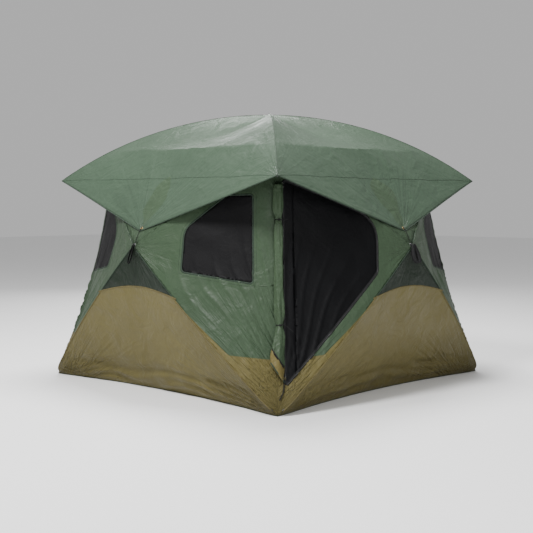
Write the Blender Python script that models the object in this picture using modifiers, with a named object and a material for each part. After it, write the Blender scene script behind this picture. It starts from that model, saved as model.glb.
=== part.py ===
"""A square pop-up hub shelter: four hub walls, a hub roof, a rain fly on two crossed bows and two doors.

Metres, +Z up. The origin is the middle of the floor's underside. The walls face +X, +Y, -X and -Y and
are called east, north, west and south; left and right are as seen from outside. Each wall is a trapezium
with a hub in the middle, four poles from the hub to the corners, and four flat triangles of fabric that
hinge on the wall's own edges, so that the wall can be pulled through its plane and pop inwards.
"""

import math

import bmesh
import bpy
from mathutils import Matrix, Vector

# Driving dimensions
BASE_HALF = 1.194
TOP_HALF = 0.877
TOP_HEIGHT = 1.705
WALL_BULGE = 0.327
ROOF_BULGE = 0.245
CORNER_SEAM_HOLLOW = 0.090

# What follows from them: a wall's lean, its height up the slope, and the parts of that below and above its hub
WALL_LEAN = math.atan2(BASE_HALF - TOP_HALF, TOP_HEIGHT)
WALL_HEIGHT = math.hypot(BASE_HALF - TOP_HALF, TOP_HEIGHT)
BELOW_HUB = WALL_HEIGHT * BASE_HALF / (BASE_HALF + TOP_HALF)
ABOVE_HUB = WALL_HEIGHT - BELOW_HUB

# Poles and hubs
POLE_RADIUS = 0.005
LOWER_BOW = 0.042
UPPER_BOW = 0.028
ROOF_BOW = 0.020
POLE_STATIONS = 12
HUB_RADIUS = 0.048
HUB_THICK = 0.024
PIVOT_RADIUS = 0.032
POLE_INNER_END = 0.021
SLOT_WIDTH = 0.0124
SLOT_INNER_END = 0.016
SLOT_OUTER_END = HUB_RADIUS * 1.2
BOSS_RADIUS = 0.014
BOSS_LENGTH = 0.024
BOSS_SUNK = 0.002
STRAP_LONG = 0.052
STRAP_DEEP = 0.024
STRAP_WIDE = 0.022
STRAP_THICK = 0.003
STRAP_SUNK = 0.006

# Sockets at the corners, flared because a pole tilts and slides a little in its socket as a wall pops
TIP_CLEARANCE = 0.018
SOCKET_START = 0.004
SOCKET_FLOOR = 0.010
SOCKET_LIP = 0.012
SOCKET_ROOM = 0.0105
SOCKET_WALL = 0.003
SOCKET_CUT_PAST = 1.2
CORE_RADIUS = 0.013

# Fabric
FABRIC_OFFSET = 0.012
PANEL_THICK = 0.004
BOTTOM_INSET = 0.035
SIDE_INSET = 0.085
TOP_INSET = 0.030
SEAM_HALF_GAP = 0.009
HUB_CLEARANCE = 0.058
CORNER_CUT = 0.095
FLOOR_THICK = 0.005
FLOOR_HALF = 1.149
FLOOR_TAB = 0.110
TAB_THICK = 0.0056
GROUND_DEPTH = 0.2

# Rain fly
FLY_TOP = 2.040
FLY_TIP = Vector((1.148, 1.148, 1.522))
FLY_FLAP = Vector((1.285, 0.0, 1.154))
FLY_EDGE_HEIGHT = 1.738
FLY_THICK = 0.003
FLY_EDGE_HOLLOW = 0.012
FLY_ROOF_SHAPE = 1.6
FLY_COLUMNS = 8
SHARES = [index / FLY_COLUMNS for index in range(FLY_COLUMNS + 1)]
FLY_ROOF_RINGS = 8
FLY_SKIRT_RINGS = 5
FLY_POLE_RADIUS = 0.0045
FLY_POLE_DROPS = (0.0140, 0.0245)
FLY_POLE_REACH = 1.600
FLY_POLE_STATIONS = 24
CORD_RADIUS = 0.002
CORD_GAP = 0.0006
CORD_HITCH = 0.6
CORD_ROUTE = ((1.2880, 1.1800), (1.3060, 1.1630), (1.3230, 1.1400), (1.3380, 1.1130), (1.3500, 1.0850))
CANOPY_INSET = 0.060
CANOPY_OFFSET = 0.020
CANOPY_HOLE = 0.070
CANOPY_RINGS = 5

# Doors, in a side panel's own coordinates: along its hinge edge from the top, and across towards the hub
DOOR_CORNERS = ((0.255, 0.030), (0.425, 0.665), (0.800, 0.665), (1.475, 0.030))
DOOR_CORNER_RADII = (0.030, 0.190, 0.110, 0.030)
DOOR_GAP = 0.005
DOOR_OUTLINE_GAP = 0.0048
SLIDER_SIZE = (0.028, 0.012, 0.007)
SLIDER_GAP = 0.0003
SLIDER_TAB_OVERLAP = 0.002
SLIDER_START = (1.390, 0.150)
SLIDER_TAB = (0.024, 0.008, 0.003)
ROLL_RADIUS = 0.034
ROLL_BOTTOM = 0.300
ROLL_TOP = 1.460
ROLL_STATIONS = 12
ROLL_STANDOFF = 0.036

COLOURS = {
    "green_fabric": ((0.150, 0.185, 0.150, 1.0), 0.75, 0.0),
    "tan_fabric": ((0.190, 0.160, 0.080, 1.0), 0.80, 0.0),
    "fly_fabric": ((0.170, 0.205, 0.170, 1.0), 0.65, 0.0),
    "black_mesh": ((0.010, 0.010, 0.012, 1.0), 0.90, 0.0),
    "black_plastic": ((0.015, 0.015, 0.016, 1.0), 0.45, 0.0),
    "pole": ((0.020, 0.021, 0.023, 1.0), 0.35, 0.0),
    "elastic_cord": ((0.012, 0.012, 0.012, 1.0), 0.70, 0.0),
    "zip_metal": ((0.560, 0.550, 0.520, 1.0), 0.35, 1.0),
}


def clear_scene():
    for obj in list(bpy.data.objects):
        bpy.data.objects.remove(obj, do_unlink=True)


def make_collection(name):
    collection = bpy.data.collections.new(name)
    bpy.context.scene.collection.children.link(collection)
    return collection


def make_materials():
    materials = {}
    for name, (colour, roughness, metallic) in COLOURS.items():
        material = bpy.data.materials.new(name)
        material.use_nodes = True
        shader = material.node_tree.nodes["Principled BSDF"]
        shader.inputs["Base Color"].default_value = colour
        shader.inputs["Roughness"].default_value = roughness
        shader.inputs["Metallic"].default_value = metallic
        materials[name] = material
    return materials


def place(obj, material, parent, matrix):
    """Links the object to the parts' collection, under its parent, at this matrix in the parent's space."""
    PARTS.objects.link(obj)
    obj.data.materials.append(MATERIALS[material])
    obj.parent = parent
    obj.matrix_local = matrix
    return obj


def frame_empty(name, origin, across, up, parent=None):
    """An empty whose X is across, Y is up and Z is the outward normal."""
    normal = across.cross(up)
    matrix = Matrix((across, up, normal)).transposed().to_4x4()
    matrix.translation = origin
    empty = bpy.data.objects.new(name, None)
    PARTS.objects.link(empty)
    empty.parent = parent
    empty.matrix_local = matrix
    return empty


def tube(name, points, radius, material, parent, matrix):
    curve = bpy.data.curves.new(name, "CURVE")
    curve.dimensions = "3D"
    curve.bevel_depth = radius
    curve.bevel_resolution = 2
    curve.use_fill_caps = True
    spline = curve.splines.new("POLY")
    spline.points.add(len(points) - 1)
    for point, place_on_curve in zip(spline.points, points):
        point.co = (*place_on_curve, 1.0)
    return place(bpy.data.objects.new(name, curve), material, parent, matrix)


def flat_plate(name, outlines, thickness, material, parent, matrix):
    """A plate from flat outlines, of which the second and later ones are holes."""
    curve = bpy.data.curves.new(name, "CURVE")
    curve.dimensions = "2D"
    curve.fill_mode = "BOTH"
    curve.extrude = thickness / 2
    for outline in outlines:
        spline = curve.splines.new("POLY")
        spline.points.add(len(outline) - 1)
        spline.use_cyclic_u = True
        for point, corner in zip(spline.points, outline):
            point.co = (corner[0], corner[1], 0.0, 1.0)
    return place(bpy.data.objects.new(name, curve), material, parent, matrix)


def mesh_object(name, bm, material, parent, matrix):
    mesh = bpy.data.meshes.new(name)
    bmesh.ops.recalc_face_normals(bm, faces=bm.faces)
    bm.to_mesh(mesh)
    bm.free()
    return place(bpy.data.objects.new(name, mesh), material, parent, matrix)


def helper(name, bm, parent, matrix):
    """A shape that only cuts or joins another."""
    mesh = bpy.data.meshes.new(name)
    bmesh.ops.recalc_face_normals(bm, faces=bm.faces)
    bm.to_mesh(mesh)
    bm.free()
    obj = bpy.data.objects.new(name, mesh)
    CUTTERS.objects.link(obj)
    obj.parent = parent
    obj.matrix_local = matrix
    obj.hide_render = True
    obj.display_type = "WIRE"
    return obj


def combine(target, operation, other):
    modifier = target.modifiers.new(operation.lower(), "BOOLEAN")
    modifier.operation = operation
    modifier.solver = "EXACT"
    modifier.object = other


def box_mesh(size, centre=(0.0, 0.0, 0.0)):
    bm = bmesh.new()
    bmesh.ops.create_cube(bm, size=1.0, matrix=Matrix.Translation(centre) @ Matrix.Diagonal((*size, 1.0)))
    return bm


def cone_mesh(start_radius, end_radius, start, end, sides=16):
    """A cone frustum along +X from start to end."""
    bm = bmesh.new()
    along = Matrix.Translation(((start + end) / 2, 0.0, 0.0)) @ Matrix.Rotation(math.pi / 2, 4, "Y")
    radii = {"radius1": start_radius, "radius2": end_radius}
    bmesh.ops.create_cone(bm, cap_ends=True, segments=sides, depth=end - start, matrix=along, **radii)
    return bm


def direction_matrix(origin, direction, outward):
    """A matrix with X along direction and Z as near outward as that allows."""
    x = direction.normalized()
    y = outward.cross(x).normalized()
    matrix = Matrix((x, y, x.cross(y))).transposed().to_4x4()
    matrix.translation = origin
    return matrix


def rounded(corners, radii, steps=5):
    """The outline through these corners, each turned into an arc of its radius."""
    outline = []
    count = len(corners)
    for index, (corner, radius) in enumerate(zip(corners, radii)):
        corner = Vector(corner)
        before = (Vector(corners[index - 1]) - corner).normalized()
        after = (Vector(corners[(index + 1) % count]) - corner).normalized()
        half = before.angle(after) / 2
        centre = corner + (before + after).normalized() * radius / math.sin(half)
        start = corner + before * radius / math.tan(half) - centre
        end = corner + after * radius / math.tan(half) - centre
        turn = start.angle_signed(end)
        for step in range(steps + 1):
            arm = start.copy()
            arm.rotate(Matrix.Rotation(-turn * step / steps, 2))
            outline.append(centre + arm)
    return outline


def pole_length(reach, bulge):
    """From the hub's pin to the tip, which stays just short of the corner as the wall passes through flat."""
    slant = math.hypot(reach - PIVOT_RADIUS, bulge)
    overshoot = slant - (reach - PIVOT_RADIUS)
    return slant - overshoot - TIP_CLEARANCE


def slotted_disc(name, parent, bulge, directions):
    """A hub's disc, with a slot for each pole. Its origin is the hub's centre."""
    bm = bmesh.new()
    radii = {"radius1": HUB_RADIUS, "radius2": HUB_RADIUS}
    bmesh.ops.create_cone(bm, cap_ends=True, segments=32, depth=HUB_THICK, **radii)
    hub = mesh_object(name, bm, "black_plastic", parent, Matrix.Translation((0.0, 0.0, bulge)))
    length = SLOT_OUTER_END - SLOT_INNER_END
    for number, direction in enumerate(directions):
        slot = box_mesh((length, SLOT_WIDTH, HUB_THICK * 2), (SLOT_INNER_END + length / 2, 0.0, 0.0))
        turn = Matrix.Rotation(math.atan2(direction.y, direction.x), 4, "Z")
        combine(hub, "DIFFERENCE", helper(f"{name}_slot_{number}", slot, hub, turn))
    return hub


def build_wall_hub(name, parent, directions):
    """A slotted disc with an outer boss and a short strap loop."""
    hub = slotted_disc(name, parent, WALL_BULGE, directions)
    bm = bmesh.new()
    lift = Matrix.Translation((0.0, 0.0, HUB_THICK / 2 + BOSS_LENGTH / 2 - BOSS_SUNK))
    bmesh.ops.create_cone(
        bm, cap_ends=True, segments=24, radius1=BOSS_RADIUS, radius2=BOSS_RADIUS, depth=BOSS_LENGTH, matrix=lift
    )
    combine(hub, "UNION", helper(f"{name}_boss", bm, hub, Matrix()))
    drop = BOSS_RADIUS + STRAP_LONG / 2 - STRAP_SUNK
    hang = Matrix.Translation((0.0, -drop, HUB_THICK / 2 + BOSS_LENGTH / 2))
    lie = hang @ Matrix.Rotation(math.pi / 2, 4, "Y")
    for suffix, shrink, width, operation in (
        ("strap", 0.0, STRAP_WIDE, "UNION"),
        ("strap_hole", STRAP_THICK, STRAP_WIDE * 2, "DIFFERENCE"),
    ):
        bm = bmesh.new()
        bmesh.ops.create_cone(bm, cap_ends=True, segments=20, radius1=1.0, radius2=1.0, depth=width)
        stretch = Matrix.Diagonal((STRAP_DEEP / 2 - shrink, STRAP_LONG / 2 - shrink, 1.0, 1.0))
        bmesh.ops.transform(bm, matrix=stretch, verts=bm.verts)
        combine(hub, operation, helper(f"{name}_{suffix}", bm, hub, lie))
    return hub


def build_pole(name, hub, corner, bulge, bow):
    """A bowed pole on the hub's pin. Its origin is the pin, +X runs to the corner and Y is the pin's axis."""
    flat = corner.normalized()
    pin = Vector((flat.x, flat.y, 0.0)) * PIVOT_RADIUS
    target = Vector((corner.x, corner.y, -bulge))
    matrix = direction_matrix(pin, target - pin, Vector((0.0, 0.0, 1.0)))
    length = pole_length(corner.length, bulge)
    inner = POLE_INNER_END - PIVOT_RADIUS
    points = []
    for station in range(POLE_STATIONS + 1):
        share = station / POLE_STATIONS
        points.append((inner + (length - inner) * share, 0.0, 4 * bow * share * (1 - share)))
    return tube(name, points, POLE_RADIUS, "pole", hub, matrix)


def trimmed_panel(first, second, inset):
    """The outline of a panel between two corners of a wall, along and across its hinge edge, and its reach.

    The hinge edge lies inset from the wall's own edge, and the tips at the corners and the hub are left off.
    """
    edge = (second - first).normalized()
    reach = -first.dot(Vector((-edge.y, edge.x)))
    middle = Vector((-first.dot(edge), reach))
    span = (second - first).length
    low, seam, cut = [], [], []
    for corner, sign in ((Vector((0.0, 0.0)), 1.0), (Vector((span, 0.0)), -1.0)):
        diagonal = (middle - corner).normalized()
        side = Vector((sign * diagonal.y, -sign * diagonal.x)) * SEAM_HALF_GAP
        tip = middle + side
        low.append(corner + Vector((CORNER_CUT / diagonal.x, 0.0)))
        seam.append(corner + diagonal * CORNER_CUT + side)
        cut.append(tip - diagonal * (tip.y - (reach - HUB_CLEARANCE)) / diagonal.y)
    kept = clip_above([*low, seam[1], cut[1], cut[0], seam[0]], inset)
    return [(x, y - inset) for x, y in kept], reach - inset


def clip_above(points, level):
    """The part of a polygon at or above y = level."""
    kept = []
    for (x0, y0), (x1, y1) in zip(points, points[1:] + points[:1]):
        if y0 >= level:
            kept.append((x0, y0))
        if (y0 >= level) != (y1 >= level):
            share = (level - y0) / (y1 - y0)
            kept.append((x0 + (x1 - x0) * share, level))
    return kept


def build_panel(name, parent, first, second, inset, material, holes=()):
    """A fabric triangle without its tips. Its origin is on its hinge edge, which is its X axis."""
    outline, reach = trimmed_panel(first, second, inset)
    edge = (second - first).normalized()
    inward = Vector((-edge.y, edge.x))
    origin = first + inward * inset
    across = Vector((edge.x, edge.y, 0.0))
    up = Vector((inward.x, inward.y, 0.0))
    matrix = Matrix((across, up, Vector((0.0, 0.0, 1.0)))).transposed().to_4x4()
    matrix.translation = (origin.x, origin.y, FABRIC_OFFSET)
    matrix = matrix @ Matrix.Rotation(math.atan2(WALL_BULGE, reach), 4, "X")
    return flat_plate(name, [outline, *holes], PANEL_THICK, material, parent, matrix)


def wall_axes(angle):
    """A wall's level outward direction, its directions across and up, its outward normal, and its middle."""
    out = Vector((math.cos(angle), math.sin(angle), 0.0))
    across = Vector((-math.sin(angle), math.cos(angle), 0.0))
    up = Vector((0.0, 0.0, 1.0)) * math.cos(WALL_LEAN) - out * math.sin(WALL_LEAN)
    normal = out * math.cos(WALL_LEAN) + Vector((0.0, 0.0, 1.0)) * math.sin(WALL_LEAN)
    return out, across, up, normal, out * BASE_HALF + up * BELOW_HUB


def build_wall(side, angle, door):
    """One wall: hub, four poles and four panels. The left panel holds a doorway if door is given."""
    _, across, up, _, middle = wall_axes(angle)
    frame = frame_empty(f"{side}_wall", middle, across, up)
    corners = {
        "lower_left": Vector((-BASE_HALF, -BELOW_HUB)),
        "lower_right": Vector((BASE_HALF, -BELOW_HUB)),
        "upper_right": Vector((TOP_HALF, ABOVE_HUB)),
        "upper_left": Vector((-TOP_HALF, ABOVE_HUB)),
    }
    hub = build_wall_hub(f"{side}_hub", frame, list(corners.values()))
    for corner_name, corner in corners.items():
        bow = LOWER_BOW if corner_name.startswith("lower") else UPPER_BOW
        build_pole(f"{side}_pole_{corner_name}", hub, corner, WALL_BULGE, bow)
    doorway = [rounded(DOOR_CORNERS, DOOR_CORNER_RADII)] if door else []
    for kind, first, second, inset, material, holes in (
        ("lower", "lower_left", "lower_right", BOTTOM_INSET, "tan_fabric", []),
        ("right", "lower_right", "upper_right", SIDE_INSET, "green_fabric", []),
        ("upper", "upper_right", "upper_left", TOP_INSET, "green_fabric", []),
        ("left", "upper_left", "lower_left", SIDE_INSET, "green_fabric", doorway),
    ):
        ends = corners[first], corners[second]
        panel = build_panel(f"{side}_panel_{kind}", frame, *ends, inset, material, holes)
    if door:
        build_door(door, panel)
        build_zip_slider(door, panel)


def build_door(door, panel):
    """The screen door fills the doorway, with its origin and X axis on its straight edge."""
    inner_corners = [Vector(corner) for corner in DOOR_CORNERS]
    edge_height = inner_corners[0].y + DOOR_GAP
    middle = sum(inner_corners, Vector((0.0, 0.0))) / len(inner_corners)
    outline = []
    for point in rounded(DOOR_CORNERS, DOOR_CORNER_RADII):
        inward = (middle - point).normalized() * DOOR_OUTLINE_GAP
        outline.append((point.x + inward.x, max(point.y + inward.y, edge_height) - edge_height))
    matrix = Matrix.Translation((0.0, edge_height, 0.0))
    flat_plate(f"{door}_screen_door", [outline], PANEL_THICK, "black_mesh", panel, matrix)


def build_zip_slider(door, panel):
    """The slider rides on the doorway's straight sloping side, just outside it, with X along the zip."""
    start = Vector(SLIDER_START)
    along = (Vector(DOOR_CORNERS[2]) - Vector(DOOR_CORNERS[3])).normalized()
    matrix = Matrix.Translation((start.x, start.y, PANEL_THICK / 2 + SLIDER_SIZE[2] / 2 + SLIDER_GAP))
    matrix = matrix @ Matrix.Rotation(math.atan2(along.y, along.x), 4, "Z")
    slider = mesh_object(f"{door}_zip_slider", box_mesh(SLIDER_SIZE), "zip_metal", panel, matrix)
    centre = (-(SLIDER_SIZE[0] + SLIDER_TAB[0]) / 2 + SLIDER_TAB_OVERLAP, 0.0, 0.0)
    combine(slider, "UNION", helper(f"{door}_zip_tab", box_mesh(SLIDER_TAB, centre), slider, Matrix()))


def corner_curve(height):
    """How far out along the diagonal the wall's gathered corner seam lies at this height."""
    share = height / TOP_HEIGHT
    straight = math.sqrt(2) * (BASE_HALF + (TOP_HALF - BASE_HALF) * share)
    return straight - 4 * CORNER_SEAM_HOLLOW * share * (1 - share)


def build_door_roll(door, diagonal):
    """The outer door, rolled up and tied along the corner seam."""
    outward = Vector((math.cos(diagonal), math.sin(diagonal), 0.0))
    points = []
    for station in range(ROLL_STATIONS + 1):
        height = ROLL_BOTTOM + (ROLL_TOP - ROLL_BOTTOM) * station / ROLL_STATIONS
        points.append(outward * (corner_curve(height) + ROLL_STANDOFF) + Vector((0.0, 0.0, height)))
    tube(f"{door}_door_roll", points, ROLL_RADIUS, "tan_fabric", None, Matrix())


def add_sockets(target, corner, arms, name):
    """Joins flared sockets to the target, one along each arm: (direction, bulge, reach, outward)."""
    cutters = []
    for number, (direction, bulge, reach, outward) in enumerate(arms):
        overshoot = math.hypot(reach - PIVOT_RADIUS, bulge) - (reach - PIVOT_RADIUS)
        mouth = overshoot + TIP_CLEARANCE + SOCKET_LIP
        flare = bulge / (reach - PIVOT_RADIUS)
        matrix = direction_matrix(corner, direction, outward)
        past = mouth * SOCKET_CUT_PAST
        start_room, floor_room, mouth_room, past_room = (
            SOCKET_ROOM + flare * distance for distance in (SOCKET_START, SOCKET_FLOOR, mouth, past)
        )
        outer = cone_mesh(start_room + SOCKET_WALL, mouth_room + SOCKET_WALL, SOCKET_START, mouth)
        combine(target, "UNION", helper(f"{name}_socket_{number}", outer, None, matrix))
        hole = cone_mesh(floor_room, past_room, SOCKET_FLOOR, past)
        cutters.append(helper(f"{name}_socket_hole_{number}", hole, None, matrix))
    return cutters


def wall_arm(corner, angle, across, along_slope):
    """A wall's pole at this corner, which lies this far across and along the slope from the wall's middle."""
    _, _, _, normal, middle = wall_axes(angle)
    return middle - corner, WALL_BULGE, math.hypot(across, along_slope), normal


def build_top_corner(name, angle):
    """The three-way socket where two wall poles and a roof pole meet. Angle is the first wall's."""
    turn = Matrix.Rotation(angle, 3, "Z")
    corner = turn @ Vector((TOP_HALF, TOP_HALF, TOP_HEIGHT))
    bm = bmesh.new()
    bmesh.ops.create_uvsphere(bm, u_segments=16, v_segments=10, radius=CORE_RADIUS)
    top = mesh_object(name, bm, "black_plastic", None, Matrix.Translation(corner))
    arms = [wall_arm(corner, wall, TOP_HALF, ABOVE_HUB) for wall in (angle, angle + math.pi / 2)]
    roof_middle = Vector((0.0, 0.0, TOP_HEIGHT))
    arms.append((roof_middle - corner, ROOF_BULGE, math.sqrt(2) * TOP_HALF, Vector((0.0, 0.0, 1.0))))
    for cutter in add_sockets(top, corner, arms, name):
        combine(top, "DIFFERENCE", cutter)


def build_floor():
    """The floor sheet, with a tab and two pole sockets sewn on at each corner."""
    size = (FLOOR_HALF * 2, FLOOR_HALF * 2, FLOOR_THICK * 2)
    floor = mesh_object("floor", box_mesh(size), "tan_fabric", None, Matrix())
    cutters = []
    for number in range(4):
        angle = number * math.pi / 2
        corner = Matrix.Rotation(angle, 3, "Z") @ Vector((BASE_HALF, BASE_HALF, 0.0))
        tab_centre = corner - corner.normalized() * (FLOOR_TAB - TAB_THICK) / math.sqrt(2)
        tab = box_mesh((FLOOR_TAB, FLOOR_TAB, TAB_THICK * 2))
        place_tab = Matrix.Translation(tab_centre)
        combine(floor, "UNION", helper(f"floor_tab_{number}", tab, None, place_tab))
        arms = [wall_arm(corner, wall, BASE_HALF, BELOW_HUB) for wall in (angle, angle + math.pi / 2)]
        cutters += add_sockets(floor, corner, arms, f"floor_{number}")
    for cutter in cutters:
        combine(floor, "DIFFERENCE", cutter)
    below = box_mesh((BASE_HALF * 3, BASE_HALF * 3, GROUND_DEPTH), (0.0, 0.0, -GROUND_DEPTH / 2))
    combine(floor, "DIFFERENCE", helper("ground", below, None, Matrix()))


def fly_ridge(radius):
    """The fly's height over a bow, which is an arc of a circle from tip to tip."""
    tip = math.hypot(FLY_TIP.x, FLY_TIP.y)
    rise = FLY_TOP - FLY_TIP.z
    arc = (tip**2 + rise**2) / (2 * rise)
    return FLY_TOP - arc + math.sqrt(arc**2 - radius**2)


def fly_roof(out, share):
    """The fly inside the walls' top edges: out from the middle, share 0 over a wall to 1 over a bow."""
    over_wall = FLY_TOP + (FLY_EDGE_HEIGHT - FLY_TOP) * out / TOP_HALF
    height = over_wall + (fly_ridge(out * math.sqrt(2)) - over_wall) * share**FLY_ROOF_SHAPE
    return Vector((out, out * share, height))


def fly_skirt(down, share):
    """The fly outside the top edges: down 0 at the edge to 1 at the hem, share 0 at a flap to 1 at a tip."""
    start = fly_roof(TOP_HALF, share)
    end = FLY_FLAP.lerp(FLY_TIP, share)
    hollow = 4 * FLY_EDGE_HOLLOW * share * (1 - share) * down
    point = start.lerp(end, down)
    if share == 1.0:
        point.z = fly_ridge(math.hypot(point.x, point.y))
    return point - Vector((hollow, 0.0, 0.0))


def ring_sheet(rings, closed_middle):
    """A sheet from rings of points round the middle, each ring given over one eighth, from wall to bow."""
    bm = bmesh.new()
    loops = []
    for eighth in rings:
        loop = []
        for quarter in range(4):
            turn = Matrix.Rotation(quarter * math.pi / 2, 3, "Z")
            mirrored = [Vector((point.y, point.x, point.z)) for point in reversed(eighth[1:-1])]
            loop += [turn @ point for point in eighth + mirrored]
        loops.append([bm.verts.new(point) for point in loop])
    for inner, outer in zip(loops, loops[1:]):
        for index in range(len(outer)):
            after = (index + 1) % len(outer)
            bm.faces.new((inner[index], outer[index], outer[after], inner[after]))
    if closed_middle:
        middle = bm.verts.new((0.0, 0.0, FLY_TOP))
        first = loops[0]
        for index in range(len(first)):
            bm.faces.new((middle, first[index], first[(index + 1) % len(first)]))
    return bm


def thicken(obj, thickness):
    modifier = obj.modifiers.new("fabric", "SOLIDIFY")
    modifier.thickness = thickness
    modifier.offset = 0.0
    modifier.use_even_offset = True


def build_fly():
    rings = []
    for ring in range(1, FLY_ROOF_RINGS + 1):
        rings.append([fly_roof(TOP_HALF * ring / FLY_ROOF_RINGS, share) for share in SHARES])
    for ring in range(1, FLY_SKIRT_RINGS + 1):
        rings.append([fly_skirt(ring / FLY_SKIRT_RINGS, share) for share in SHARES])
    fly = mesh_object("rain_fly", ring_sheet(rings, True), "fly_fabric", None, Matrix())
    thicken(fly, FLY_THICK)
    for name, diagonal, drop in zip(("first", "second"), (math.pi / 4, 3 * math.pi / 4), FLY_POLE_DROPS):
        outward = Vector((math.cos(diagonal), math.sin(diagonal), 0.0))
        points = []
        for station in range(FLY_POLE_STATIONS + 1):
            along = FLY_POLE_REACH * (2 * station / FLY_POLE_STATIONS - 1)
            points.append(outward * along + Vector((0.0, 0.0, fly_ridge(abs(along)) - drop)))
        tube(f"fly_pole_{name}", points, FLY_POLE_RADIUS, "pole", None, Matrix())


def canopy_point(out, share):
    """The roof cloth's middle surface, out from the middle, share 0 over a wall to 1 over a roof pole."""
    reach = out / TOP_HALF
    flat = TOP_HEIGHT + CANOPY_OFFSET + ROOF_BULGE * (1 - reach)
    return Vector((out, out * share, flat + 4 * ROOF_BOW * reach * (1 - reach) * share**2))


def build_roof():
    across, up = Vector((1.0, 0.0, 0.0)), Vector((0.0, 1.0, 0.0))
    frame = frame_empty("roof", Vector((0.0, 0.0, TOP_HEIGHT)), across, up)
    corners = {
        "north_east": Vector((TOP_HALF, TOP_HALF)),
        "north_west": Vector((-TOP_HALF, TOP_HALF)),
        "south_west": Vector((-TOP_HALF, -TOP_HALF)),
        "south_east": Vector((TOP_HALF, -TOP_HALF)),
    }
    hub = slotted_disc("roof_hub", frame, ROOF_BULGE, list(corners.values()))
    for name, corner in corners.items():
        build_pole(f"roof_pole_{name}", hub, corner, ROOF_BULGE, ROOF_BOW)
    edge = TOP_HALF - CANOPY_INSET
    outs = [CANOPY_HOLE + (edge - CANOPY_HOLE) * ring / CANOPY_RINGS for ring in range(CANOPY_RINGS + 1)]
    rings = [[canopy_point(out, share) for share in SHARES] for out in outs]
    canopy = mesh_object("roof_canopy", ring_sheet(rings, False), "green_fabric", None, Matrix())
    thicken(canopy, PANEL_THICK)


def build_cord(side, angle):
    """The elastic cord from a fly flap's eyelet to the top of the wall hub's boss."""
    out, _, up, normal, middle = wall_axes(0.0)
    stand = WALL_BULGE + HUB_THICK / 2 + BOSS_LENGTH * CORD_HITCH
    hitch = middle + normal * stand + up * (BOSS_RADIUS + CORD_RADIUS + CORD_GAP)
    turn = Matrix.Rotation(angle, 3, "Z")
    points = [turn @ (out * x + Vector((0.0, 0.0, z))) for x, z in CORD_ROUTE]
    points.append(turn @ hitch)
    tube(f"{side}_fly_cord", points, CORD_RADIUS, "elastic_cord", None, Matrix())


clear_scene()
PARTS = make_collection("pop_up_hub_shelter")
CUTTERS = make_collection("cutters")
CUTTERS.hide_render = True
MATERIALS = make_materials()

build_floor()
for number, (side, door) in enumerate((("east", "front"), ("north", None), ("west", "rear"), ("south", None))):
    build_wall(side, number * math.pi / 2, door)
    build_cord(side, number * math.pi / 2)
for number, name in enumerate(("north_east", "north_west", "south_west", "south_east")):
    build_top_corner(f"top_corner_{name}", number * math.pi / 2)
build_roof()
build_fly()
build_door_roll("front", -math.pi / 4)
build_door_roll("rear", 3 * math.pi / 4)
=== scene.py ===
"""The looks of the pop-up hub shelter: cloth, trims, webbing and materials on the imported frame."""

import math

import bmesh
import bpy
from mathutils import Matrix, Vector, noise
from mathutils.bvhtree import BVHTree
from mathutils.geometry import delaunay_2d_cdt


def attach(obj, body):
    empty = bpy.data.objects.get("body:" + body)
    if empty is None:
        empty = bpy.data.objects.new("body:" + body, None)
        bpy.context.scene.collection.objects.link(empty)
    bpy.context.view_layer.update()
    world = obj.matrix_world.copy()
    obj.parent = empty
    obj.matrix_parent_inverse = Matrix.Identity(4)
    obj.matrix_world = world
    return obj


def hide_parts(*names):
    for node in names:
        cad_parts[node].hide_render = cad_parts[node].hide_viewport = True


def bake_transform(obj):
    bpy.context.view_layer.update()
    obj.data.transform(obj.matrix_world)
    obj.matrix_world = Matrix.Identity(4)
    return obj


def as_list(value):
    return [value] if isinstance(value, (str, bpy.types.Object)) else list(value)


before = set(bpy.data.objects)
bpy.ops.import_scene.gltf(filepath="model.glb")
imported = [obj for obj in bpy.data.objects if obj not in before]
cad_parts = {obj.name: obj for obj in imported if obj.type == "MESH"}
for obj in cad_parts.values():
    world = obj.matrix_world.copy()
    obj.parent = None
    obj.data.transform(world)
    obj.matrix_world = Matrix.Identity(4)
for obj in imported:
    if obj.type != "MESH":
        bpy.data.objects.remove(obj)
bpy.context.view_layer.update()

# The frame's driving dimensions, metres
BASE_HALF = 1.194
TOP_HALF = 0.877
TOP_HEIGHT = 1.705
WALL_BULGE = 0.327
ROOF_BULGE = 0.245
LOWER_BOW = 0.042
UPPER_BOW = 0.028
ROOF_BOW = 0.020
LEAN = math.atan2(BASE_HALF - TOP_HALF, TOP_HEIGHT)
WALL_HEIGHT = math.hypot(BASE_HALF - TOP_HALF, TOP_HEIGHT)
BELOW = WALL_HEIGHT * BASE_HALF / (BASE_HALF + TOP_HALF)
ABOVE = WALL_HEIGHT - BELOW
SIDES = {"east": 0.0, "north": math.pi / 2, "west": math.pi, "south": 3 * math.pi / 2}
DOOR_OF = {"east": "front", "west": "rear"}

# How the cloth lies on the frame
CLOTH_APEX = WALL_BULGE + 0.024
POLE_LIFT = {"lower": 0.011, "upper": 0.0065}
CORNER_HOLLOW = 0.090
HEM_HOLLOW = 0.120
TOP_HOLLOW = 0.015
CORNER_BLUNT = 0.020
CLOTH_THICK = 0.0012
CANOPY_LIFT = 0.020
CANOPY_HOLE = 0.03
# A sheet may not be stated as less than about 0.3 of its length times its width
LEAST_AREA_SHARE = 0.301

# Mesh density
GRID = 0.014
GRID_CLEARANCE = 0.55
GRID_ROW = 0.87
STRIP_STEP = 0.02
FLY_RINGS = 72
FLY_COLUMNS = 36

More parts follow.
